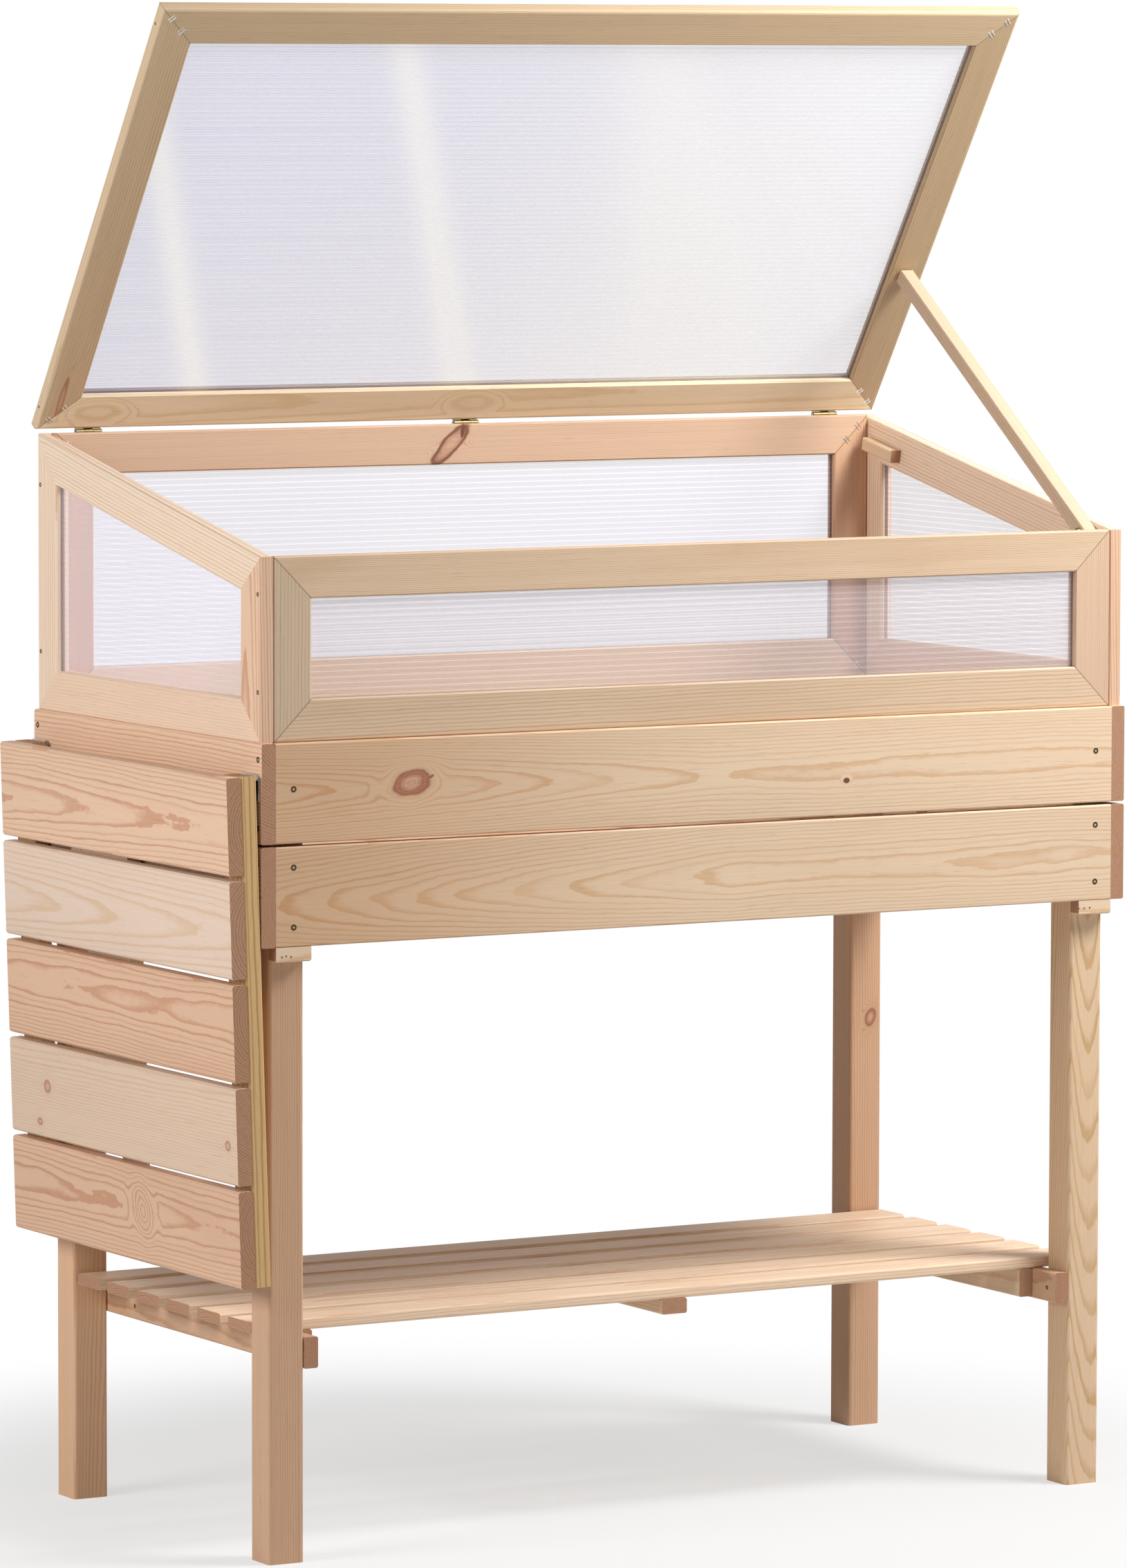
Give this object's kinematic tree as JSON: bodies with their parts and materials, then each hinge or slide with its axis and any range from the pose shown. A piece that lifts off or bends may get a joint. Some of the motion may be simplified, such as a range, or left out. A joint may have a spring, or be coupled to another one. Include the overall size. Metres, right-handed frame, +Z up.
{
  "type": "raised bed with cold frame",
  "caption": "Raised pine planting bed on square legs with a slatted shelf, a hinged cold-frame lid held by a prop, and a fold-up side table.",
  "frame": {"origin": "on the ground, under the middle of the whole object's box", "axes": "+Z up, -Y the front where the cold frame is low, +X to the right, away from the folding table"},
  "size_m": [1.072, 0.5152, 1.5691],
  "materials": {
    "pine": "planed, unpainted",
    "table_pine": "planed, unpainted",
    "twin_wall_sheet": "clear, ribbed",
    "yellow_zinc": "dull, passivated",
    "zinc_steel": "zinc plated"
  },
  "bodies": {
    "bed": {"leg_front_left": "pine", "leg_front_right": "pine", "leg_back_left": "pine", "leg_back_right": "pine", "board_front_upper": "pine", "board_front_lower": "pine", "board_back_upper": "pine", "board_back_lower": "pine", "board_left_upper": "pine", "board_left_lower": "pine", "board_right_upper": "pine", "board_right_lower": "pine", "cold_frame_front_bottom": "pine", "cold_frame_front_right": "pine", "cold_frame_front_top": "pine", "cold_frame_front_left": "pine", "cold_frame_back_bottom": "pine", "cold_frame_back_right": "pine", "cold_frame_back_top": "pine", "cold_frame_back_left": "pine", "cold_frame_left_bottom": "pine", "cold_frame_left_back": "pine", "cold_frame_left_top": "pine", "cold_frame_left_front": "pine", "cold_frame_right_bottom": "pine", "cold_frame_right_back": "pine", "cold_frame_right_top": "pine", "cold_frame_right_front": "pine", "support_blocks": "pine", "floor_bearers": "pine", "floor_boards": "pine", "shelf_slats": "pine", "shelf_rails": "pine", "shelf_battens": "pine", "prop_cleat": "pine", "pane_front": "twin_wall_sheet", "pane_back": "twin_wall_sheet", "pane_left": "twin_wall_sheet", "pane_right": "twin_wall_sheet", "lid_hinge_frame_leaves": "yellow_zinc", "prop_screw": "yellow_zinc", "table_hinge_bed_leaves": "zinc_steel", "hinge_pins": "zinc_steel"},
    "lid": {"lid_back": "pine", "lid_right": "pine", "lid_front": "pine", "lid_left": "pine", "lid_pane": "twin_wall_sheet", "lid_hinge_lid_leaves": "yellow_zinc"},
    "prop": {"prop": "pine"},
    "table": {"table_slat_1": "table_pine", "table_slat_2": "table_pine", "table_slat_3": "table_pine", "table_slat_4": "table_pine", "table_slat_5": "table_pine", "table_rail_front": "table_pine", "table_rail_back": "table_pine", "table_hinge_table_leaves": "zinc_steel", "table_bracket": "table_pine", "bracket_hinges": "zinc_steel"}
  },
  "joints": [
    {"name": "lid_hinge", "type": "hinge", "parent": "bed", "child": "lid", "pos_m": [0.02, 0.251, 1.122], "axis": [1, 0, 0], "range_deg": [-105, 0]},
    {"name": "prop_pivot", "type": "hinge", "parent": "bed", "child": "prop", "pos_m": [0.511, -0.215, 1.01514], "axis": [1, 0, 0], "range_deg": [-24.3, 0]},
    {"name": "table_hinge", "type": "hinge", "parent": "bed", "child": "table", "pos_m": [-0.499, 0, 0.7985], "axis": [0, 1, 0], "range_deg": [0, 91.83]}
  ]
}
